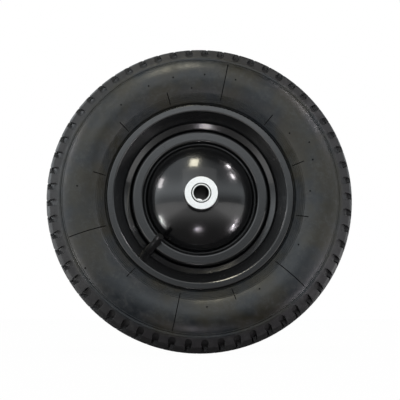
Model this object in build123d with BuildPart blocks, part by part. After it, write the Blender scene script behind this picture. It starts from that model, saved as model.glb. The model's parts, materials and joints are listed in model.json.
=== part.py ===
from build123d import *
import os
from math import cos, radians, sin

# Pneumatic wheelbarrow wheel: a 4.00-8 tyre and tube on a pressed steel rim, two dished discs, a tube hub
# and two flanged ball bearings for a 3/4 inch axle.
# The wheel stands upright and spins about Y. The origin is the middle of the axle bore, Z is up, and the
# valve side, called the front, faces -Y. Sections are drawn as (radius, distance from the middle plane).

# Tyre
tyre_outer_d = 400.0
tyre_width = 100.0
tyre_widest_drop = 48.0
tread_edge_drop = 8.6
tread_half_width = 36.0
shoulder_drop = 21.0
shoulder_inset = 7.8
shoulder_round = 3.0
crown_thickness = 12.0
shoulder_thickness = 5.0
shoulder_thickness_drop = 7.0
sidewall_thickness = 5.5
sidewall_inner_drop = 4.0
bead_wall_height = 6.0
bead_wall_inset = 3.9
bead_toe_height = 3.9
bead_toe_inset = 0.2
bead_toe_bevel = 1.2
bead_heel_bevel = 1.6
bead_clearance = 0.2
shoulder_rib_height = 1.2
shoulder_rib_width = 2.4

# Tread
tread_pitches = 57
tread_turn = 1.65
tread_depth = 5.0
shoulder_groove_floor = 2.2
ring_groove_y = 17.0
ring_groove_width = 4.0
groove_crown_width = 3.8
groove_base_width = 9.4
groove_end_drop = 19.2
groove_widest_drop = 14.5
groove_slant = 5.0
chevron_width = 3.4
chevron_rise = 5.0

# Inner tube
tube_wall = 2.0
tube_clearance = 0.4
tube_bottom_gap = 1.5
tube_flank_inset = 4.3
tube_flank_rise = 2.1

# Rim
rim_sheet = 2.0
rim_seat_d = 203.2
rim_well_d = 177.8
rim_lip_d = 240.0
rim_overall_width = 71.6
rim_well_wall_y = 10.8
rim_seat_wall_y = 17.4
rim_flange_root_y = 22.6
rim_lip_band = 8.4
rim_lip_turn = 2.4
rim_well_round = 6.0
rim_seat_round = 4.0
rim_flange_round = 3.5
rim_lip_inner_round = 1.0
rim_lip_outer_round = 1.5
weld_clearance = 0.05

# Discs
disc_sheet = 2.0
disc_face_y = 16.5
disc_flange_length = 12.0
disc_edge_round = 2.6
disc_ring_width = 12.6
disc_step_round = 2.4
disc_groove_depth = 5.9
disc_groove_draft = 1.7
disc_groove_width = 3.4
disc_shoulder_run = 8.6
disc_shoulder_rise = 13.2
disc_dome_top_gap = 4.6
disc_collar_height = 4.9
disc_collar_setback = 11.9

# Hub
hub_outer_d = 38.1
hub_wall = 1.6
hub_edge = 0.3

# Bearings
axle_d = 19.05
overall_length = 120.8
bearing_flange_d = 41.3
bearing_flange_thickness = 1.6
bearing_width = 12.7
bearing_fit = 0.03
bearing_flange_setback = 0.4
cup_wall = 1.85
cup_lip_thickness = 1.2
inner_nose_d = 23.2
inner_land_d = 25.2
nose_gap = 0.5
inner_shoulder_gap = 0.5
shield_thickness = 0.8
shield_inset = 0.3
ball_d = 4.76
ball_count = 10
race_clearance = 0.1
cage_thickness = 1.4
cage_width = 6.2
face_edge = 0.3

# Valve
valve_angle = 226.0
valve_tilt = 45.0
valve_seat_inset = 4.4
valve_hole_d = 11.5
valve_neck_d = 11.0
valve_stem_d = 10.4
valve_stem_tip_d = 8.6
valve_stem_length = 21.0
valve_neck_length = 5.0
valve_eyelet_d = 16.0
valve_eyelet_height = 2.0
valve_insert_d = 5.6
valve_thread_d = 7.7
valve_thread_length = 10.0
valve_core_d = 4.0
valve_core_length = 18.0
valve_core_recess = 0.8
valve_pin_d = 1.3
valve_pin_reach = 5.0
valve_pin_stand = 0.4
valve_pin_seat_d = 3.0
valve_pin_seat_length = 1.6
valve_fit = 0.05
cap_outer_d = 10.0
cap_tip_d = 8.8
cap_top = 1.6
cap_clearance = 0.1
cap_seat_gap = 0.3
cap_flutes = 16
cap_flute_d = 1.0
cap_flute_length = 7.0

# Sizes that follow from the driving ones
tyre_r = tyre_outer_d / 2
tyre_half_width = tyre_width / 2
tyre_widest_r = tyre_r - tyre_widest_drop
tread_edge_r = tyre_r - tread_edge_drop
ring_groove_r = tyre_r - tread_edge_drop * (ring_groove_y / tread_half_width) ** 2
shoulder_base_r = tyre_r - shoulder_drop
shoulder_base_y = tyre_half_width - shoulder_inset
groove_end_r = tyre_r - groove_end_drop
groove_widest_r = tyre_r - groove_widest_drop
seat_r = rim_seat_d / 2
well_line_r = rim_well_d / 2 + rim_sheet / 2
seat_line_r = seat_r - rim_sheet / 2
lip_line_r = rim_lip_d / 2 - rim_sheet / 2
lip_line_y = rim_overall_width / 2 - rim_sheet / 2
lip_root_r = lip_line_r - rim_lip_band + rim_sheet / 2
bead_r = seat_r + bead_clearance
disc_outer_r = rim_well_d / 2 - weld_clearance
disc_rim_line_r = disc_outer_r - disc_sheet / 2
disc_line_y = disc_face_y - disc_sheet / 2
disc_step_r = disc_rim_line_r - disc_ring_width
disc_groove_r = disc_step_r - disc_groove_draft
disc_groove_y = disc_line_y - disc_groove_depth
disc_shoulder_r = disc_groove_r - disc_groove_width - disc_shoulder_run
disc_shoulder_y = disc_groove_y + disc_shoulder_rise
hub_r = hub_outer_d / 2
hub_bore_r = hub_r - hub_wall
collar_line_r = hub_r + weld_clearance + disc_sheet / 2
dome_top_r = hub_r + disc_dome_top_gap
axle_r = axle_d / 2
nose_y = overall_length / 2
flange_face_y = nose_y - bearing_flange_setback
hub_end_y = flange_face_y - bearing_flange_thickness
collar_top_y = hub_end_y - disc_collar_setback
dome_top_y = collar_top_y - disc_collar_height
cup_end_y = flange_face_y - bearing_width
cup_r = hub_bore_r - bearing_fit
cup_bore_r = cup_r - cup_wall
nose_r = inner_nose_d / 2
land_r = inner_land_d / 2
lip_bore_r = nose_r + nose_gap
ball_r = ball_d / 2
ball_pitch_r = (cup_bore_r + land_r) / 2
land_front_y = flange_face_y - cup_lip_thickness - inner_shoulder_gap
shield_back_y = cup_end_y + shield_inset
shield_front_y = shield_back_y + shield_thickness
land_back_y = shield_front_y + inner_shoulder_gap
ball_y = (land_front_y + land_back_y) / 2
nose_back_y = cup_end_y - bearing_flange_setback
valve_thread_r = valve_thread_d / 2
valve_seat_r = seat_line_r - valve_seat_inset

SIDES = (("front", -1), ("back", 1))
SPIN = Axis.Y
MIDDLE = Plane.XZ


def on_side(points, side):
    """The same section points on the front or the back of the middle plane."""
    return [(r, side * y) for r, y in points]


def save(part, name):
    """Names a finished piece and writes it."""
    part.label = name
    export_step(part, f"parts/{name}.step")


os.makedirs("parts", exist_ok=True)

# The rim wall is a straight cone from the well to the seat; the valve leaves it at the seat radius below
wall_slope = (rim_seat_wall_y - rim_well_wall_y) / (seat_line_r - well_line_r)
valve_seat_y = rim_well_wall_y + wall_slope * (valve_seat_r - well_line_r)
valve_out = Vector(cos(radians(valve_angle)), 0, sin(radians(valve_angle)))
valve_across = Vector(-sin(radians(valve_angle)), 0, cos(radians(valve_angle)))
valve_direction = Vector(0, -1, 0) * sin(radians(valve_tilt)) - valve_out * cos(radians(valve_tilt))
valve_origin = valve_out * valve_seat_r + Vector(0, -valve_seat_y, 0)
VALVE = Plane(origin=valve_origin, x_dir=valve_across, z_dir=valve_across.cross(valve_direction))
VALVE_AXIS = Axis(valve_origin, valve_direction)
VALVE_BASE = Plane(origin=valve_origin, x_dir=valve_across, z_dir=valve_direction)

# Rim hoop: one strip rolled into a drop-centre section with turned lips, pierced for the valve
rim_half = [
    (well_line_r, rim_well_wall_y),
    (seat_line_r, rim_seat_wall_y),
    (seat_line_r, rim_flange_root_y),
    (lip_root_r, lip_line_y),
    (lip_line_r, lip_line_y),
    (lip_line_r, lip_line_y - rim_lip_turn),
]
rim_rounds = [rim_well_round, rim_seat_round, rim_flange_round, rim_lip_inner_round, rim_lip_outer_round]
with BuildPart() as rim_hoop:
    with BuildSketch(Plane.XY):
        with BuildLine():
            FilletPolyline(*on_side(reversed(rim_half), -1), *rim_half, radius=rim_rounds[::-1] + rim_rounds)
            offset(amount=rim_sheet / 2, side=Side.BOTH)
        make_face()
    revolve(axis=SPIN)
    with BuildSketch(VALVE_BASE):
        Circle(valve_eyelet_d / 2)
    extrude(amount=valve_eyelet_height)
    with BuildSketch(VALVE_BASE):
        Circle(valve_hole_d / 2)
    extrude(amount=rim_overall_width / 4, both=True, mode=Mode.SUBTRACT)
save(rim_hoop.part, "rim_hoop")

# Discs: pressed sheet with a flange welded in the well, a flat ring, a groove, a dome and a collar at the hub
for side_name, side in SIDES:
    with BuildPart() as disc:
        with BuildSketch(Plane.XY):
            with BuildLine():
                brim = FilletPolyline(
                    (disc_rim_line_r, side * (disc_line_y - disc_flange_length)),
                    (disc_rim_line_r, side * disc_line_y),
                    (disc_step_r, side * disc_line_y),
                    (disc_groove_r, side * disc_groove_y),
                    radius=[disc_edge_round, disc_step_round],
                )
                dome_foot = (disc_groove_r - disc_groove_width, side * disc_groove_y)
                groove = TangentArc(brim @ 1, dome_foot, tangent=brim % 1)
                dome_edge = (disc_shoulder_r, side * disc_shoulder_y)
                shoulder = TangentArc(groove @ 1, dome_edge, tangent=groove % 1)
                dome = TangentArc(shoulder @ 1, (dome_top_r, side * dome_top_y), tangent=shoulder % 1)
                collar_start = (collar_line_r, side * (dome_top_y + dome_top_r - collar_line_r))
                turn = TangentArc(collar_start, dome @ 1, tangent=(0, -side))
                Line(turn @ 0, (collar_line_r, side * collar_top_y))
                offset(amount=disc_sheet / 2, side=Side.BOTH)
            make_face()
        revolve(axis=SPIN)
    save(disc.part, f"{side_name}_disc")

# Tyre casing: crown, shoulder with one raised rib, bulging sidewall and a bead seated against the flange.
# The bead follows the flange slope, set off by the sheet's half thickness and the bead clearance.
flange_run = Vector(lip_root_r - seat_line_r, lip_line_y - rim_flange_root_y)
flange_across = Vector(flange_run.Y, -flange_run.X).normalized() * (rim_sheet / 2 + bead_clearance)
flange_slope = flange_run.Y / flange_run.X
heel_y = rim_flange_root_y + flange_across.Y + flange_slope * (bead_r - seat_line_r - flange_across.X)
clinch_y = lip_line_y - rim_lip_turn - rim_sheet / 2 - bead_clearance
clinch_r = bead_r + (clinch_y - heel_y) / flange_slope
lip_gap_r = rim_lip_d / 2 + bead_clearance + rim_lip_turn / 2

cavity_top = (tyre_r - crown_thickness, 0)
cavity_shoulder = (shoulder_base_r - shoulder_thickness_drop, shoulder_base_y - shoulder_thickness)
cavity_side = (tyre_widest_r - sidewall_inner_drop, tyre_half_width - sidewall_thickness)
bead_wall = (rim_lip_d / 2 + bead_wall_height, lip_line_y - bead_wall_inset)
bead_toe_y = rim_seat_wall_y - bead_toe_inset
bead_toe_in = (seat_r + bead_toe_height, bead_toe_y - bead_toe_bevel)
tube_bottom = (well_line_r + rim_sheet / 2 + tube_bottom_gap, 0)
tube_flank = (tube_bottom[0] + tube_flank_rise, rim_well_wall_y - tube_flank_inset)
with BuildSketch(Plane.XY) as cavity_section:
    with BuildLine():
        crown_in = TangentArc(cavity_top, cavity_shoulder, tangent=(0, 1))
        side_in = TangentArc(crown_in @ 1, cavity_side, tangent=crown_in % 1)
        lower_in = TangentArc(side_in @ 1, bead_wall, tangent=side_in % 1)
        Polyline(lower_in @ 1, bead_toe_in, tube_flank)
        TangentArc(tube_bottom, tube_flank, tangent=(0, 1))
        Line(tube_bottom, cavity_top)
    make_face()
    mirror(about=MIDDLE)

with BuildPart() as cavity:
    add(cavity_section.sketch)
    revolve(axis=SPIN)

rib_y = shoulder_base_y + shoulder_rib_height
rib_inner_r = shoulder_base_r - shoulder_rib_width
with BuildPart() as casing:
    with BuildSketch(Plane.XY):
        with BuildLine():
            crown_out = TangentArc((tyre_r, 0), (tread_edge_r, tread_half_width), tangent=(0, 1))
            Polyline(
                crown_out @ 1,
                (shoulder_base_r, shoulder_base_y),
                (shoulder_base_r, rib_y),
                (rib_inner_r, rib_y),
                (rib_inner_r, rib_y - shoulder_rib_height / 2),
            )
            sidewall_foot = (lip_gap_r + rim_lip_turn / 2, lip_line_y)
            widest = (tyre_widest_r, tyre_half_width)
            ThreePointArc((rib_inner_r, rib_y - shoulder_rib_height / 2), widest, sidewall_foot)
            Polyline(
                sidewall_foot,
                (lip_gap_r, clinch_y),
                (clinch_r, clinch_y),
                (bead_r + bead_heel_bevel, heel_y + flange_slope * bead_heel_bevel),
                (bead_r, heel_y - bead_heel_bevel),
                (bead_r, 0),
                (tyre_r, 0),
            )
        make_face()
        mirror(about=MIDDLE)
        with Locations(*on_side([(ring_groove_r, ring_groove_y)], 1), *on_side([(ring_groove_r, ring_groove_y)], -1)):
            Rectangle(2 * tread_depth, ring_groove_width, mode=Mode.SUBTRACT)
    revolve(axis=SPIN)
    add(cavity.part, mode=Mode.SUBTRACT)
    with BuildSketch(Plane.XY):
        with Locations((bead_r, 0)):
            Rectangle(2 * (bead_toe_in[0] - bead_r), 2 * bead_toe_y)
    revolve(axis=SPIN, mode=Mode.SUBTRACT)
    tread_edges = casing.edges().filter_by(GeomType.CIRCLE).filter_by(lambda e: abs(e.radius - tread_edge_r) < 0.1)
    fillet(tread_edges, radius=shoulder_round)

# Tread floor: what stays below the grooves, so that each groove keeps its depth over the curved shoulder
with BuildPart() as tread_floor:
    with BuildSketch(Plane.XY):
        with BuildLine():
            floor_edge = (tread_edge_r - tread_depth, tread_half_width - tread_depth / 2)
            floor_crown = TangentArc((tyre_r - tread_depth, 0), floor_edge, tangent=(0, 1))
            floor_base = (shoulder_base_r, shoulder_base_y - shoulder_groove_floor)
            Polyline(floor_crown @ 1, floor_base, (tyre_widest_r, floor_base[1]), (tyre_widest_r, 0), floor_crown @ 0)
        make_face()
        mirror(about=MIDDLE)
    revolve(axis=SPIN)

# One front groove at the top of the wheel: a slanted slot over the crown that opens into a tongue on the shoulder
with BuildPart() as front_groove:
    with BuildSketch(MIDDLE.offset(tyre_half_width)):
        with BuildLine():
            left = Line((-groove_crown_width / 2, tyre_r + tread_depth), (-groove_base_width / 2, groove_widest_r))
            right = Line((groove_base_width / 2, groove_widest_r), (groove_crown_width / 2, tyre_r + tread_depth))
            ThreePointArc(left @ 1, (0, groove_end_r), right @ 0)
            Line(right @ 1, left @ 0)
        make_face()
    extrude(amount=ring_groove_y + ring_groove_width * 2 - tyre_half_width)
    with BuildSketch(Plane.XY.offset(tyre_r + tread_depth / 2)):
        with BuildLine():
            Polyline(
                (-groove_crown_width / 2, -tread_half_width),
                (groove_crown_width / 2, -tread_half_width),
                (groove_crown_width / 2 + groove_slant, -ring_groove_y),
                (-groove_crown_width / 2 + groove_slant, -ring_groove_y),
                close=True,
            )
        make_face()
    extrude(amount=-tread_depth * 3)
    add(tread_floor.part, mode=Mode.SUBTRACT)

# One chevron slot across the centre rib, open to both ring grooves
with BuildPart() as chevron:
    with BuildSketch(Plane.XY.offset(tyre_r + tread_depth / 2)):
        with BuildLine():
            Polyline(
                (-chevron_width / 2, -ring_groove_y),
                (chevron_rise - chevron_width / 2, 0),
                (-chevron_width / 2, ring_groove_y),
                (chevron_width / 2, ring_groove_y),
                (chevron_rise + chevron_width / 2, 0),
                (chevron_width / 2, -ring_groove_y),
                close=True,
            )
        make_face()
    extrude(amount=-tread_depth * 3)
    add(tread_floor.part, mode=Mode.SUBTRACT)

pitch_angle = 360 / tread_pitches
back_groove = front_groove.part.mirror(MIDDLE)
grooves = []
for pitch in range(tread_pitches):
    grooves.append(front_groove.part.rotate(SPIN, tread_turn + pitch * pitch_angle))
    grooves.append(back_groove.rotate(SPIN, tread_turn + (pitch + 0.5) * pitch_angle))
    grooves.append(chevron.part.rotate(SPIN, tread_turn + (pitch + 0.25) * pitch_angle))
with BuildPart() as tyre:
    add(casing.part)
    add(grooves, mode=Mode.SUBTRACT)
save(tyre.part, "tyre")

# Inner tube: the shape of the space between casing and well, with a thin wall and the valve's air hole
with BuildPart() as inner_tube:
    with BuildSketch(Plane.XY):
        add(cavity_section.sketch)
        offset(amount=-tube_clearance)
        offset(amount=-tube_wall, mode=Mode.SUBTRACT)
    revolve(axis=SPIN)
    with BuildSketch(VALVE_BASE):
        Circle(valve_insert_d / 2)
    extrude(amount=-(valve_neck_length + 4 * tube_wall), mode=Mode.SUBTRACT)
save(inner_tube.part, "inner_tube")

# Hub tube
with BuildPart() as hub_tube:
    with BuildSketch(MIDDLE):
        Circle(hub_r)
        Circle(hub_bore_r, mode=Mode.SUBTRACT)
    extrude(amount=hub_end_y, both=True)
    chamfer(hub_tube.edges().filter_by(GeomType.CIRCLE), length=hub_edge)
save(hub_tube.part, "hub_tube")

# Spacer tube between the two inner rings
with BuildPart() as spacer_tube:
    with BuildSketch(MIDDLE):
        Circle(nose_r)
        Circle(axle_r, mode=Mode.SUBTRACT)
    extrude(amount=nose_back_y, both=True)
save(spacer_tube.part, "spacer_tube")

# Bearings: flanged cup, rear shield, inner ring, balls and cage on each side
ball_turns = [360 * i / ball_count for i in range(ball_count)]
for side_name, side in SIDES:
    cup_profile = [
        (bearing_flange_d / 2, flange_face_y),
        (lip_bore_r, flange_face_y),
        (lip_bore_r, flange_face_y - cup_lip_thickness),
        (cup_bore_r, flange_face_y - cup_lip_thickness),
        (cup_bore_r, cup_end_y),
        (cup_r, cup_end_y),
        (cup_r, hub_end_y),
        (bearing_flange_d / 2, hub_end_y),
    ]
    with BuildPart() as cup:
        with BuildSketch(Plane.XY):
            with BuildLine():
                Polyline(*on_side(cup_profile, side), close=True)
            make_face()
            with Locations((ball_pitch_r, side * ball_y)):
                Circle(ball_r + race_clearance, mode=Mode.SUBTRACT)
        revolve(axis=SPIN)
        rim_edges = cup.edges().filter_by(lambda e: abs(abs(e.center().Y) - flange_face_y) < bearing_fit)
        fillet(rim_edges, radius=face_edge)
    save(cup.part, f"{side_name}_bearing_cup")

    with BuildPart() as shield:
        with BuildSketch(MIDDLE.offset(-side * shield_back_y)):
            Circle(cup_bore_r - bearing_fit)
            Circle(lip_bore_r, mode=Mode.SUBTRACT)
        extrude(amount=-side * shield_thickness)
    save(shield.part, f"{side_name}_bearing_shield")

    ring_profile = [
        (axle_r, nose_y),
        (nose_r, nose_y),
        (nose_r, land_front_y),
        (land_r, land_front_y),
        (land_r, land_back_y),
        (nose_r, land_back_y),
        (nose_r, nose_back_y),
        (axle_r, nose_back_y),
    ]
    with BuildPart() as inner_ring:
        with BuildSketch(Plane.XY):
            with BuildLine():
                Polyline(*on_side(ring_profile, side), close=True)
            make_face()
            with Locations((ball_pitch_r, side * ball_y)):
                Circle(ball_r + race_clearance, mode=Mode.SUBTRACT)
        revolve(axis=SPIN)
        nose_edges = inner_ring.edges().filter_by(lambda e: abs(abs(e.center().Y) - nose_y) < bearing_fit)
        fillet(nose_edges, radius=face_edge)
    save(inner_ring.part, f"{side_name}_inner_ring")

    ball_points = [
        (ball_pitch_r * cos(radians(turn)), side * ball_y, ball_pitch_r * sin(radians(turn))) for turn in ball_turns
    ]
    with BuildPart() as balls:
        with Locations(*ball_points):
            Sphere(ball_r)
    save(balls.part, f"{side_name}_bearing_balls")

    with BuildPart() as cage:
        with BuildSketch(MIDDLE.offset(-side * ball_y)):
            Circle(ball_pitch_r + cage_thickness / 2)
            Circle(ball_pitch_r - cage_thickness / 2, mode=Mode.SUBTRACT)
        extrude(amount=cage_width / 2, both=True)
        with Locations(*[Plane(origin=p, z_dir=(p[0], 0, p[2])) for p in ball_points]):
            Cylinder(ball_r + race_clearance, ball_d, mode=Mode.SUBTRACT)
    save(cage.part, f"{side_name}_bearing_cage")


def turned(points):
    """The face of a piece that is turned about the valve, from points given as (radius, height)."""
    with BuildSketch(VALVE) as section:
        with BuildLine():
            Polyline(*points, close=True)
        make_face()
    return section.sketch


# Valve: a rubber covered stem moulded to the tube, with a threaded brass insert, a core with its pin, and a cap
thread_top = valve_stem_length + valve_thread_length
insert_r = valve_insert_d / 2
core_bottom = thread_top - valve_core_recess - valve_core_length
with BuildPart() as valve_stem:
    add(turned([
        (insert_r + valve_fit, -valve_neck_length - 2 * tube_wall),
        (valve_neck_d / 2, -valve_neck_length - 2 * tube_wall),
        (valve_neck_d / 2, valve_eyelet_height),
        (valve_stem_d / 2, valve_eyelet_height + valve_neck_length),
        (valve_stem_tip_d / 2, valve_stem_length),
        (insert_r + valve_fit, valve_stem_length),
    ]))
    revolve(axis=VALVE_AXIS)
    add(cavity.part, mode=Mode.SUBTRACT)
save(valve_stem.part, "valve_stem")

core_r = valve_core_d / 2
with BuildPart() as valve_insert:
    add(turned([
        (core_r, -valve_neck_length),
        (insert_r, -valve_neck_length),
        (insert_r, valve_stem_length),
        (valve_thread_r, valve_stem_length),
        (valve_thread_r, thread_top),
        (core_r, thread_top),
    ]))
    revolve(axis=VALVE_AXIS)
save(valve_insert.part, "valve_insert")

pin_bore_r = valve_pin_d / 2 + 2 * valve_fit
with BuildPart() as valve_core:
    add(turned([
        (pin_bore_r, core_bottom),
        (core_r - valve_fit, core_bottom),
        (core_r - valve_fit, core_bottom + valve_core_length),
        (pin_bore_r, core_bottom + valve_core_length),
    ]))
    revolve(axis=VALVE_AXIS)
save(valve_core.part, "valve_core")

with BuildPart() as valve_pin:
    add(turned([
        (0, core_bottom - valve_pin_reach),
        (valve_pin_seat_d / 2, core_bottom - valve_fit - valve_pin_seat_length),
        (valve_pin_seat_d / 2, core_bottom - valve_fit),
        (valve_pin_d / 2, core_bottom - valve_fit),
        (valve_pin_d / 2, core_bottom + valve_core_length + valve_pin_stand),
        (0, core_bottom + valve_core_length + valve_pin_stand),
    ]))
    revolve(axis=VALVE_AXIS)
save(valve_pin.part, "valve_pin")

cap_bottom = valve_stem_length + cap_seat_gap
cap_bore_r = valve_thread_r + cap_clearance
cap_bore_top = thread_top + cap_seat_gap
with BuildPart() as valve_cap:
    add(turned([
        (cap_bore_r, cap_bottom),
        (cap_outer_d / 2, cap_bottom),
        (cap_outer_d / 2, cap_bottom + cap_flute_length),
        (cap_tip_d / 2, cap_bore_top + cap_top),
        (0, cap_bore_top + cap_top),
        (0, cap_bore_top),
        (cap_bore_r, cap_bore_top),
    ]))
    revolve(axis=VALVE_AXIS)
    with BuildSketch(VALVE_BASE.offset(cap_bottom)):
        with PolarLocations(cap_outer_d / 2, cap_flutes):
            Circle(cap_flute_d / 2)
    extrude(amount=cap_flute_length, mode=Mode.SUBTRACT)
save(valve_cap.part, "valve_cap")
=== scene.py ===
import json
from math import pi, radians

import bpy
from mathutils import Matrix, Vector


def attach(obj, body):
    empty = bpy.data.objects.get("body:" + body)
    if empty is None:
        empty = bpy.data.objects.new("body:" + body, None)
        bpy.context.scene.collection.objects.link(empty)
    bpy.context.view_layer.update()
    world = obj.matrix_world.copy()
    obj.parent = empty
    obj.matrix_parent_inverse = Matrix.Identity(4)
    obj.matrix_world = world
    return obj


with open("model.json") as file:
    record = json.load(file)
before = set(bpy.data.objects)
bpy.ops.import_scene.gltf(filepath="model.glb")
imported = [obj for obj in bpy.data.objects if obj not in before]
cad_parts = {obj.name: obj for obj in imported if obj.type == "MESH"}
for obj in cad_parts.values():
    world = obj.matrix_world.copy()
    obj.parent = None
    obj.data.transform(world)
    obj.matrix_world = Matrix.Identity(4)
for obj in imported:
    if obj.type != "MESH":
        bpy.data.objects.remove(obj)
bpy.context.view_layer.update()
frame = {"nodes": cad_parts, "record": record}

nodes = frame["nodes"]


# Shader maths

class Reading:
    """One output of a node. Sums and products of readings add their Math nodes."""

    def __init__(self, finish, socket):
        self.finish = finish
        self.socket = socket

    def maths(self, operation, *others):
        values = dict(enumerate((self,) + others))
        return self.finish.add("ShaderNodeMath", {"operation": operation}, values)

    def __add__(self, other):
        return self.maths("ADD", other)

    def __sub__(self, other):
        return self.maths("SUBTRACT", other)

    def __mul__(self, other):
        return self.maths("MULTIPLY", other)

    def __pow__(self, other):
        return self.maths("POWER", other)

    def __rsub__(self, other):
        return self.finish.add("ShaderNodeMath", {"operation": "SUBTRACT"}, {0: other, 1: self})

    __radd__ = __add__
    __rmul__ = __mul__


def solid_colour(value):
    """A plain colour gets its alpha, and a reading stays as it is."""
    return (*value, 1) if isinstance(value, tuple) else value


def grey(level):
    return (level, level, level)


class Nodework:
    """A tree of nodes that is filled by calls."""

    def __init__(self, owner, place):
        owner.use_nodes = True
        self.tree = owner.node_tree
        self.tree.nodes.clear()
        self.place = self.add("ShaderNodeTexCoord", out=place)

    def put(self, socket, value):
        if isinstance(value, Reading):
            self.tree.links.new(value.socket, socket)
        else:
            socket.default_value = value

    def add(self, kind, settings=None, values=None, out=0):
        node = self.tree.nodes.new(kind)
        for key, value in (settings or {}).items():
            setattr(node, key, value)
        for key, value in (values or {}).items():
            self.put(node.inputs[key], value)
        return Reading(self, node.outputs[out])

    def noise(self, scale, detail=3.0, roughness=0.5):
        values = {"Vector": self.place, "Scale": scale, "Detail": detail, "Roughness": roughness}
        return self.add("ShaderNodeTexNoise", None, values)

    def part(self, axis):
        return self.add("ShaderNodeSeparateXYZ", None, {0: self.place}, out=axis)

    def radius(self):
        """Distance from the axle."""
        across = self.part("X")
        up = self.part("Z")
        return (across * across + up * up) ** 0.5

    def band(self, reading, low, high):
        """0 below low, 1 above high, and a soft step between them."""
        values = {"Value": reading, "From Min": low, "From Max": high, "To Min": 0.0, "To Max": 1.0}
        return self.add("ShaderNodeMapRange", {"interpolation_type": "SMOOTHSTEP"}, values)

    def mix(self, share, first, second):
        """Mix of two colours: inputs 0, 6 and 7 and output 2 are the node's colour sockets."""
        values = {0: share, 6: solid_colour(first), 7: solid_colour(second)}
        return self.add("ShaderNodeMix", {"data_type": "RGBA"}, values, out=2)


class Finish(Nodework):
    """One material, built as a tree of nodes round a principled shader."""

    def __init__(self, name, **constants):
        self.material = bpy.data.materials.new(name)
        super().__init__(self.material, "Object")
        self.end = self.tree.nodes.new("ShaderNodeOutputMaterial")
        self.skin = self.tree.nodes.new("ShaderNodeBsdfPrincipled")
        self.tree.links.new(self.skin.outputs["BSDF"], self.end.inputs["Surface"])
        for key, value in constants.items():
            self.skin.inputs[key.replace("_", " ")].default_value = value

    def set(self, name, value):
        self.put(self.skin.inputs[name], value)

    def relief(self, height, depth, strength=1.0, edge=None):
        """Fine bumps, over edges that look rounded to that radius if one is given."""
        values = {"Height": height, "Distance": depth, "Strength": strength}
        if edge:
            values["Normal"] = self.add("ShaderNodeBevel", {"samples": 6}, {"Radius": edge})
        self.set("Normal", self.add("ShaderNodeBump", None, values))


# Finishes. Distances from the axle are in metres, and each pair is where a step starts and ends.

TREAD_EDGE = (0.176, 0.184)
RIM_SIDE_EDGE = (0.1305, 0.1335)
COOL_RUBBER = (0.0022, 0.0055, 0.0090)
WARM_RUBBER = (0.0110, 0.0095, 0.0034)
# Tread colour, darker than the sidewall: painted shade on the tread.
TREAD_PAINTED_SHADE = (0.0040, 0.0034, 0.0044)
RUBBER_DUST = (0.028, 0.030, 0.030)
LUG_EDGE = 0.0009


def tyre_rubber():
    """Moulded rubber: cool and warm patches, dusty where worn, darker on the tread as painted shade, and
    duller in the band beside the rim.
    """
    f = Finish("tyre_rubber", Specular_IOR_Level=0.5)
    broad = f.noise(15.0, 3.0, 0.6)
    cloud = f.noise(42.0, 4.0, 0.65)
    fine = f.noise(190.0, 4.0, 0.65)
    grain = f.noise(1500.0, 2.0)
    radius = f.radius()
    tread = f.band(radius, *TREAD_EDGE)
    rim_side = 1.0 - f.band(radius, *RIM_SIDE_EDGE)
    worn = f.band(cloud, 0.35, 0.65)
    dust = f.band(fine, 0.42, 0.72) * (0.12 + 0.6 * worn)
    tone = f.mix(f.band(broad, 0.38, 0.62), COOL_RUBBER, WARM_RUBBER)
    # The tread band takes the darker colour: painted shade.
    tone = f.mix(tread, tone, TREAD_PAINTED_SHADE)
    f.set("Base Color", f.mix(dust, tone, RUBBER_DUST))
    f.set("Roughness", 0.25 + 0.16 * worn + 0.12 * fine + 0.22 * tread + 0.32 * rim_side)
    f.relief(grain * 0.4 + fine * 0.9 + cloud * 1.8, 0.00026, 0.5, LUG_EDGE)
    return f.material


GLOSS_BLACK = (0.0024, 0.0026, 0.0031)
DUSTY_BLACK = (0.0100, 0.0100, 0.0096)


def rim_paint():
    """Gloss black paint with a faint orange peel and a little dust."""
    f = Finish("rim_paint", Coat_Roughness=0.06)
    broad = f.noise(14.0, 2.0)
    peel = f.noise(330.0, 1.0)
    dust = f.band(f.noise(90.0, 5.0, 0.65), 0.55, 0.8)
    f.set("Base Color", f.mix(dust * 0.4, GLOSS_BLACK, DUSTY_BLACK))
    f.set("Roughness", 0.17 + 0.07 * broad + 0.12 * dust)
    f.set("Coat Weight", 0.45 - 0.2 * dust)
    f.relief(peel, 0.00018, 0.35)
    return f.material


# Near-black painted shade for the gap between bearing cup and inner ring.
GAP_PAINTED_SHADE = grey(0.006)
SEAM_STEP = 0.0002


def turned_metal(name, dark, light, rough, rings, depth, seam=0.0):
    """Turned metal, with painted shade nearer the axle than the seam, for the dark gap between cup and inner
    ring.
    """
    f = Finish(name)
    radius = f.radius()
    ring = (radius * rings).maths("SINE")
    flaw = f.noise(420.0, 4.0, 0.6)
    wide = f.noise(45.0, 2.0)
    f.set("Metallic", 1.0)
    metal = f.mix(f.band(ring * 0.25 + flaw, 0.2, 0.85), dark, light)
    # Painted shade inside the seam radius, where the gap to the inner ring is.
    f.set("Base Color", f.mix(f.band(radius, seam, seam + SEAM_STEP), GAP_PAINTED_SHADE, metal))
    f.set("Roughness", rough + 0.10 * flaw + 0.08 * wide)
    f.relief(ring * 0.5 + flaw, depth, 0.5)
    return f.material


BORE_EDGE = (0.00960, 0.00985)
RING_OUTER_EDGE = (0.01125, 0.01145)
# Near-black painted shade for the inside of the bore.
BORE_PAINTED_SHADE = grey(0.0015)
GROUND_STEEL = (0.60, 0.60, 0.57)
BRIGHT_STEEL = (0.80, 0.80, 0.77)


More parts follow.
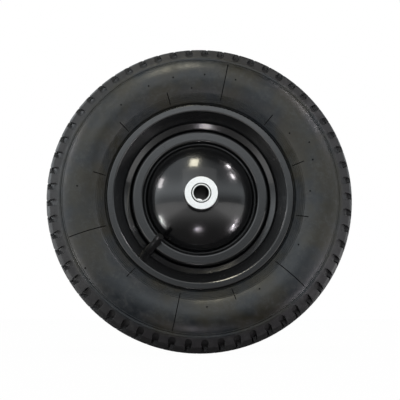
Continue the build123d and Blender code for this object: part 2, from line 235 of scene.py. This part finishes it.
def ring_steel():
    """Ground steel on the inner ring's face, with painted shade in the bore and on the outer edge beside the
    gap to the cup.
    """
    f = Finish("bearing_steel", Specular_IOR_Level=0.06)
    radius = f.radius()
    face = f.band(radius, *BORE_EDGE)
    flaw = f.noise(600.0, 3.0, 0.6)
    ring = (radius * 14000.0).maths("SINE")
    edge = f.band(radius, *RING_OUTER_EDGE)
    # Painted shade on the ring's outer edge, beside the gap to the cup.
    steel = f.mix(edge, f.mix(flaw, GROUND_STEEL, BRIGHT_STEEL), GAP_PAINTED_SHADE)
    f.set("Metallic", face)
    # Painted shade in the bore, nearer the axle than the bore edge.
    f.set("Base Color", f.mix(face, BORE_PAINTED_SHADE, steel))
    f.set("Roughness", 0.55 - 0.32 * face + 0.08 * flaw)
    f.relief(ring * 0.4 + flaw, 0.00002, 0.5)
    return f.material


def plain_dark(name, dark, light, rough, scale, depth, shine=0.5):
    """Dark rubber, plastic or oxide, mottled between two close tones."""
    f = Finish(name, Specular_IOR_Level=shine)
    wide = f.noise(scale * 0.12, 2.0)
    fine = f.noise(scale, 3.0, 0.6)
    f.set("Base Color", f.mix(f.band(fine * 0.6 + wide * 0.4, 0.35, 0.7), dark, light))
    f.set("Roughness", rough + 0.12 * fine)
    f.relief(fine, depth, 0.5)
    return f.material


FINISHES = {
    "tyre_rubber": tyre_rubber(),
    "tube_rubber": plain_dark(
        "tube_rubber", grey(0.018), (0.032, 0.032, 0.031), rough=0.55, scale=300.0, depth=0.0001,
    ),
    "rim_paint": rim_paint(),
    "dark_steel": plain_dark(
        "dark_steel", grey(0.004), (0.009, 0.008, 0.008), rough=0.62, scale=500.0, depth=0.00005, shine=0.12,
    ),
    "bearing_zinc": turned_metal(
        "bearing_zinc", (0.74, 0.74, 0.72), (0.88, 0.88, 0.87), rough=0.30, rings=9500.0, depth=0.00003,
        seam=0.01262,
    ),
    "bearing_steel": ring_steel(),
    "valve_rubber": plain_dark(
        "valve_rubber", (0.003, 0.003, 0.0035), grey(0.008), rough=0.38, scale=600.0, depth=0.00006,
    ),
    "valve_brass": turned_metal(
        "valve_brass", (0.50, 0.36, 0.16), (0.72, 0.55, 0.27), rough=0.26, rings=12000.0, depth=0.00002,
    ),
    "cap_plastic": plain_dark(
        "cap_plastic", (0.003, 0.003, 0.0035), (0.007, 0.007, 0.0075), rough=0.32, scale=900.0, depth=0.00005,
    ),
}
# Near-black rubber for mould lines and vent pips: painted shade along the lines and round the pips.
MOULD_PAINTED_SHADE = plain_dark(
    "mould_painted_shade", (0.0006, 0.0006, 0.0007), grey(0.0018), rough=0.60, scale=700.0, depth=0.00005, shine=0.04,
)
SLOT_OF = {part["node"]: part["material_slot"] for part in frame["record"]["subparts"]}
for name, node in nodes.items():
    node.data.materials.clear()
    node.data.materials.append(FINISHES[SLOT_OF[name]])


# Sidewall mouldings of the tyre: fine ribs, parting hairlines and vent pips.
# The sidewall's section is an arc, given by its centre and radius on the valve side, as distance
# from the axle and from the middle plane. Angles are in degrees, anticlockwise from +X in the photo.

SIDE_CENTRE = (0.153793, 0.010500)
SIDE_RADIUS = 0.039541
BOTH_SIDES = (-1, 1)


def side_height(radius):
    """How far the sidewall stands from the middle plane at that distance from the axle."""
    return SIDE_CENTRE[1] + (SIDE_RADIUS ** 2 - (radius - SIDE_CENTRE[0]) ** 2) ** 0.5


def deselect():
    bpy.ops.object.select_all(action="DESELECT")


def edit(action, *args, **kwargs):
    bpy.ops.object.mode_set(mode="EDIT")
    action(*args, **kwargs)
    bpy.ops.object.mode_set(mode="OBJECT")


def tidy_shell():
    """Closes the seams of a spun shell and turns its faces outwards."""
    bpy.ops.mesh.select_all(action="SELECT")
    bpy.ops.mesh.remove_doubles(threshold=0.000001)
    bpy.ops.mesh.normals_make_consistent(inside=False)


def join(pieces):
    deselect()
    for piece in pieces:
        piece.select_set(True)
    bpy.context.view_layer.objects.active = pieces[0]
    bpy.ops.object.join()
    return bpy.context.object


def settle(piece, name, skin):
    """Puts the moulding's place into its mesh, gives it its finish and lets it ride on the wheel."""
    deselect()
    piece.select_set(True)
    bpy.context.view_layer.objects.active = piece
    bpy.ops.object.transform_apply(location=True, rotation=True, scale=True)
    piece.name = name
    piece.data.name = name
    piece.data.materials.clear()
    piece.data.materials.append(skin)
    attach(piece, "wheel")


def own_copy(piece, place):
    """A copy of the piece at that place, with its own mesh."""
    twin = piece.copy()
    twin.data = piece.data.copy()
    bpy.context.scene.collection.objects.link(twin)
    twin.matrix_world = place
    return twin


def turn_about_axle(angle):
    return Matrix.Rotation(-radians(angle), 4, "Y")


RIM_RIB_RADII = (0.1246, 0.1264, 0.1282, 0.1300, 0.1322)
RIM_RIB_WIDTH = 0.0009
RIM_RIB_HEIGHT = 0.0003
SHOULDER_RIB_RADIUS = 0.1745
SHOULDER_RIB_WIDTH = 0.0012
SHOULDER_RIB_HEIGHT = 0.0002
RIB_LIFT = 0.2


def side_rib(radius, width, height, side):
    """One raised ring moulded on the sidewall, its middle lifted by a share of its height."""
    stand = side * (side_height(radius) + height * RIB_LIFT)
    bpy.ops.mesh.primitive_torus_add(
        major_radius=radius, minor_radius=width / 2, major_segments=180, minor_segments=8,
        location=(0, stand, 0), rotation=(pi / 2, 0, 0),
    )
    ring = bpy.context.object
    edit(bpy.ops.transform.resize, value=(1, height / width * 2, 1))
    return ring


def sidewall_ribs():
    rings = []
    for side in BOTH_SIDES:
        for radius in RIM_RIB_RADII:
            rings.append(side_rib(radius, RIM_RIB_WIDTH, RIM_RIB_HEIGHT, side))
        rings.append(side_rib(SHOULDER_RIB_RADIUS, SHOULDER_RIB_WIDTH, SHOULDER_RIB_HEIGHT, side))
    settle(join(rings), "sidewall_ribs", FINISHES["tyre_rubber"])


LINE_COUNT = 12
LINE_STEP = 360 / LINE_COUNT
FIRST_LINE = 78.3
LONG_LINES = (0, 4, 6, 8)
LONG_SPAN = (0.1262, 0.1735)
SHORT_SPAN = (0.1240, 0.1385)
HAIRLINE_RADIUS = 0.00055


def hairline(inner, outer):
    """One thin raised line up the sidewall, on the valve side, in the plane through the axle and +X."""
    start = Vector((inner, -side_height(inner), 0))
    centre = Vector((SIDE_CENTRE[0], -SIDE_CENTRE[1], 0))
    spoke = start - centre
    reach = Vector((outer, -side_height(outer), 0)) - centre
    along = Vector((spoke.y, -spoke.x, 0))
    bpy.ops.mesh.primitive_circle_add(
        vertices=6, radius=HAIRLINE_RADIUS, fill_type="NGON",
        location=start, rotation=along.to_track_quat("Z", "Y").to_euler(),
    )
    line = bpy.context.object
    edit(bpy.ops.mesh.spin, steps=14, angle=-spoke.angle(reach), center=centre, axis=(0, 0, 1))
    edit(tidy_shell)
    return line


def mould_lines():
    """Twelve lines a side, evenly spaced, of which LONG_LINES run up to the shoulder."""
    long_line = hairline(*LONG_SPAN)
    short_line = hairline(*SHORT_SPAN)
    other_side = Matrix.Rotation(pi, 4, "Z")
    lines = []
    for index in range(LINE_COUNT):
        line = long_line if index in LONG_LINES else short_line
        turn = turn_about_axle(FIRST_LINE - LINE_STEP * index)
        lines.append(own_copy(line, turn @ line.matrix_world))
        lines.append(own_copy(line, turn @ other_side @ line.matrix_world))
    bpy.data.objects.remove(long_line)
    bpy.data.objects.remove(short_line)
    # The mould lines take the near-black finish: painted shade.
    settle(join(lines), "mould_lines", MOULD_PAINTED_SHADE)


PIPS = (
    (138.5, 2), (138.5, 35), (138.5, 95), (141.0, -87), (139.0, -58.4), (137.8, -27.3), (149.0, 17.5),
    (153.5, 26), (155.0, 73.3), (155.0, 88.3), (155.0, 103.3), (154.5, 115.7), (153.0, 131.7), (155.6, 176.5),
    (171.0, -147),
)
MILLIMETRE = 0.001
PIP_RADIUS = 0.0010
PIP_LENGTH = 0.0010
PIP_LIFT = 0.0002
PIP_ROUNDING = 0.00015
BACK_PIP_TURN = 15


def vent_pip():
    """One short stub at the origin, where rubber ran into the mould's air hole."""
    bpy.ops.mesh.primitive_cylinder_add(vertices=10, radius=PIP_RADIUS, depth=PIP_LENGTH)
    stub = bpy.context.object
    edit(bpy.ops.mesh.bevel, offset=PIP_ROUNDING, segments=2, affect="EDGES")
    return stub


def pip_place(radius, angle, side):
    """Where a pip stands upright on the sidewall."""
    out = (radius - SIDE_CENTRE[0]) / SIDE_RADIUS
    lean = Vector((out, side * (1 - out * out) ** 0.5, 0))
    foot = Vector((radius, side * side_height(radius), 0)) + lean * PIP_LIFT
    upright = lean.to_track_quat("Z", "Y").to_matrix().to_4x4()
    return turn_about_axle(angle) @ Matrix.Translation(foot) @ upright


def vent_pips():
    """PIPS gives each pip's distance from the axle in millimetres and its angle on the valve side."""
    stub = vent_pip()
    pips = [own_copy(stub, pip_place(far * MILLIMETRE, angle, -1)) for far, angle in PIPS]
    pips += [own_copy(stub, pip_place(far * MILLIMETRE, angle + BACK_PIP_TURN, 1)) for far, angle in PIPS]
    bpy.data.objects.remove(stub)
    # The pips take the near-black finish: painted shade.
    settle(join(pips), "vent_pips", MOULD_PAINTED_SHADE)


sidewall_ribs()
mould_lines()
vent_pips()


# Floor and backdrop light

FLOOR_LEVEL = -0.2
FLOOR_SIZE = 9.0
FLOOR_PALE = grey(0.86)
ROOM_TINT = (0.93, 0.99, 1.03)
ROOM_LIGHT = 0.32
DARKEST_REFLECTION = 0.05


def pale_floor():
    """White to the camera, and a soft glow in reflections that is brighter away from the wheel."""
    deselect()
    bpy.ops.mesh.primitive_plane_add(size=FLOOR_SIZE, location=(0, 0, FLOOR_LEVEL))
    floor = bpy.context.object
    floor.name = "floor"
    f = Finish("floor_pale", Roughness=0.9)
    f.set("Base Color", solid_colour(FLOOR_PALE))
    seen = f.add("ShaderNodeLightPath", out="Is Camera Ray")
    shiny = f.add("ShaderNodeLightPath", out="Is Glossy Ray")
    run = f.part("X")
    depth = f.part("Y")
    away = f.band((run * run + depth * depth) ** 0.5, 0.15, 0.60)
    sides = f.band(run * run, 0.05, 0.20)
    shine = shiny * (0.08 + 0.70 * away + 0.80 * sides)
    glow = f.add("ShaderNodeEmission", None, {"Strength": seen + shine})
    matt = Reading(f, f.skin.outputs["BSDF"])
    both = f.add("ShaderNodeMixShader", None, {0: seen * 0.985 + shiny * 0.90, 1: matt, 2: glow})
    f.put(f.end.inputs["Surface"], both)
    floor.data.materials.append(f.material)


def studio_room():
    """A white backdrop. Reflections show brighter and darker parts of the room, by their direction."""
    room = bpy.data.worlds.new("studio")
    bpy.context.scene.world = room
    sky = Nodework(room, "Generated")
    across = sky.part("X")
    depth = sky.part("Y")
    height = sky.part("Z")
    seen = sky.add("ShaderNodeLightPath", out="Is Camera Ray")
    mirrored = sky.add("ShaderNodeLightPath", out="Is Glossy Ray")
    through = sky.add("ShaderNodeLightPath", out="Is Transmission Ray")
    front = 0.68 - 0.52 * sky.band(across, -0.35, 0.35) + 1.05 * sky.band(height, 0.0, 0.26)
    above = 0.80 * sky.band(height, 0.28, 0.65)
    left = 1.40 * sky.band(0 - across - height * 0.30, 0.60, 0.95)
    right = 1.40 * sky.band(across - height * 0.30, 0.80, 1.0)
    top_right = 1.30 * sky.band(across * 0.50 + height * 0.87, 0.60, 0.95)
    beside = sky.band(depth, -0.50, 0.0)
    wall = front - above + beside * (left + right - top_right)
    backdrop = seen.maths("MAXIMUM", through)
    reflection = mirrored * wall.maths("MAXIMUM", DARKEST_REFLECTION)
    level = backdrop + reflection + (1 - seen - mirrored) * ROOM_LIGHT
    tint = sky.mix(mirrored, (1, 1, 1), ROOM_TINT)
    glow = sky.add("ShaderNodeBackground", None, {"Color": tint, "Strength": level})
    end = sky.tree.nodes.new("ShaderNodeOutputWorld")
    sky.put(end.inputs["Surface"], glow)


# Lamps

WHITE = grey(1)
FAR = 2.2
FAR_LAMPS = (
    ("lamp_window", (-0.11, -0.47, 0.87), (0.40, 0.56), 11.0, (1.0, 0.94, 0.74)),
    ("lamp_left", (-0.84, -0.34, 0.42), (0.26, 0.50), 5.0, (1.0, 0.95, 0.96)),
    ("lamp_right", (0.605, -0.25, 0.756), (0.16, 0.20), 4.0, (1.0, 0.95, 0.98)),
    ("lamp_right_second", (0.725, -0.381, 0.574), (0.16, 0.24), 5.0, (1.0, 0.95, 0.98)),
    ("lamp_low_right", (0.77, -0.30, -0.565), (0.26, 0.24), 6.0, (1.0, 0.94, 1.0)),
    ("lamp_low_right_second", (0.835, -0.359, -0.418), (0.12, 0.12), 1.8, (1.0, 0.92, 1.0)),
    ("lamp_low", (-0.03, -0.69, -0.724), (0.30, 0.14), 3.0, (1.0, 0.93, 1.0)),
    ("lamp_low_left", (-0.84, -0.32, -0.44), (0.16, 0.60), 6.0, WHITE),
)


def aimed_from(place):
    """Stands something at that place, looking at the middle of the wheel."""
    place = Vector(place)
    return Matrix.Translation(place) @ (-place).to_track_quat("-Z", "Y").to_matrix().to_4x4()


def lamp(name, place, size, watts, tint=WHITE):
    """A rectangular lamp that is aimed at the middle of the wheel."""
    light = bpy.data.lights.new(name, "AREA")
    light.shape = "RECTANGLE"
    light.size, light.size_y = size
    light.energy = watts
    light.color = tint
    holder = bpy.data.objects.new(name, light)
    bpy.context.scene.collection.objects.link(holder)
    holder.matrix_world = aimed_from(place)
    return holder


def far_lamp(name, towards, size, watts, tint):
    """A lamp in that direction from the wheel, which the floor doesn't shade."""
    holder = lamp(name, Vector(towards).normalized() * FAR, size, watts, tint)
    holder.light_linking.blocker_collection = shading
    if holder.location.z < FLOOR_LEVEL:
        holder.data.cycles.use_multiple_importance_sampling = False


def lights():
    lamp("lamp_top", (0.0, -1.8, 1.2), (1.9, 1.5), 5)
    lamp("lamp_back", (-0.5, 1.7, 1.1), (1.2, 0.8), 1.5)
    for row in FAR_LAMPS:
        far_lamp(*row)


# Camera

CAMERA_DISTANCE = 1.05
CAMERA_DIRECTION = (-0.0314, -0.9897, -0.1395)
LENS = 71.64
FRAME_SHIFT = (0.0006, -0.0014)


def camera():
    eye = bpy.data.cameras.new("camera")
    eye.lens = LENS
    eye.sensor_width = 36
    eye.shift_x, eye.shift_y = FRAME_SHIFT
    eye.clip_start = 0.01
    holder = bpy.data.objects.new("camera", eye)
    bpy.context.scene.collection.objects.link(holder)
    holder.matrix_world = aimed_from(Vector(CAMERA_DIRECTION) * CAMERA_DISTANCE)
    bpy.context.scene.camera = holder


# What stands between a far lamp and the wheel: its own CAD nodes and nothing of the floor

shading = bpy.data.collections.new("shading")
for node in nodes.values():
    shading.objects.link(node)
pale_floor()
studio_room()
lights()
camera()
bpy.context.scene.view_settings.view_transform = "Standard"
